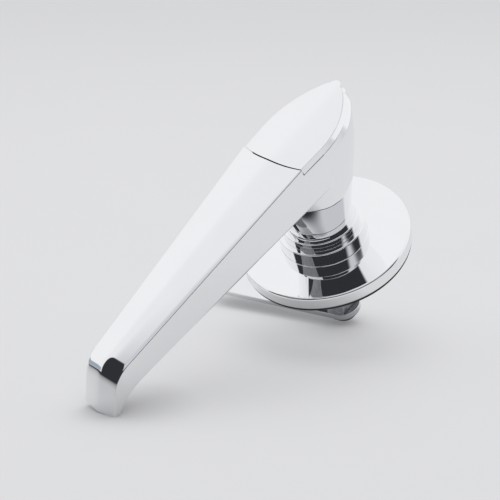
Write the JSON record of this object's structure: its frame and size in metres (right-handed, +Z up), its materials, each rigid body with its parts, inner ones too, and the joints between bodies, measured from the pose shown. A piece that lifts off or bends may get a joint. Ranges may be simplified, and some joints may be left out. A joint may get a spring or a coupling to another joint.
{
  "type": "door lever handle",
  "caption": "Pointed chrome lever handle on a round sprung rose, with a swivelling keyhole cover over a lock, a square spindle and a flat arm behind the door.",
  "frame": {"origin": "centre of the rose's back face, on the spindle's centre line, in the plane of the door's outside face", "axes": "+X along the lever from the spindle to the tip, -Y outward from the door, +Z up"},
  "size_m": [0.1235, 0.0843, 0.0766],
  "materials": {
    "chrome": "polished chrome plate",
    "rubber": "moulded black rubber",
    "zinc_steel": "zinc plated steel",
    "polished_steel": "polished steel",
    "spring_steel": "oiled spring steel",
    "bush_brass": "turned brass",
    "plug_brass": "turned brass",
    "lock_nickel": "satin nickel plate",
    "black_screw": "black oxide"
  },
  "bodies": {
    "rose": {"rose_cover": "chrome", "rose_gasket": "rubber", "backplate": "zinc_steel", "backplate_screws": "zinc_steel", "stop_pins": "zinc_steel", "bearing_bush": "bush_brass", "return_spring": "spring_steel"},
    "lever": {"lever_body": "chrome", "neck_ring": "chrome", "spindle": "zinc_steel", "spindle_pin": "spring_steel", "spring_driver": "zinc_steel", "circlip": "spring_steel", "cam_arm": "polished_steel", "cam_washer": "zinc_steel", "cam_screw": "black_screw", "cover_pin": "spring_steel", "cover_washer": "spring_steel", "lock_barrel": "lock_nickel", "barrel_screws": "black_screw"},
    "cover": {"keyhole_cover": "chrome", "cover_clip": "spring_steel"},
    "plug": {"key_plug": "plug_brass", "tail_cam": "zinc_steel", "tail_clip": "spring_steel"}
  },
  "joints": [
    {"name": "lever_turn", "type": "hinge", "parent": "rose", "child": "lever", "pos_m": [0, 0, 0], "axis": [0, 1, 0], "range_deg": [0, 60], "stiffness_Nm_per_rad": 0.6, "springref_deg": -28.65, "deforming": ["return_spring"]},
    {"name": "cover_swivel", "type": "hinge", "parent": "lever", "child": "cover", "pos_m": [-0.0178, -0.04821, 0], "axis": [0.1063, -0.9943, 0], "range_deg": [0, 90]},
    {"name": "key_turn", "type": "hinge", "parent": "lever", "child": "plug", "pos_m": [0, -0.04, 0], "axis": [0, 1, 0], "range_deg": [0, 90]}
  ]
}
